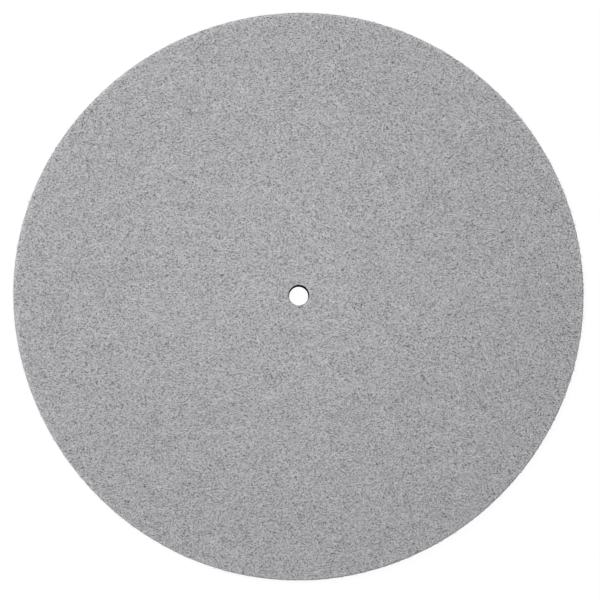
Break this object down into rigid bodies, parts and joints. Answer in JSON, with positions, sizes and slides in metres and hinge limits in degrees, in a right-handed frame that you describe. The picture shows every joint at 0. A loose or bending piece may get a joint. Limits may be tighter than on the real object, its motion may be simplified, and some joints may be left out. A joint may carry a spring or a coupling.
{
  "type": "turntable platter mat",
  "caption": "Flat round mat of grey pressed felt with a central spindle hole, laid on a turntable's platter so that the record rests on soft felt.",
  "frame": {"origin": "centre of the spindle hole on the underside, the face that rests on the platter", "axes": "+Z along the spindle, from the underside up to the record's side; X and Y lie in the underside, and no direction across the mat is special"},
  "size_m": [0.295, 0.295, 0.003],
  "materials": {
    "wool_felt": "matte heathered grey pressed felt with a fine short nap"
  },
  "bodies": {
    "root": {"felt_mat": "wool_felt"}
  },
  "joints": []
}
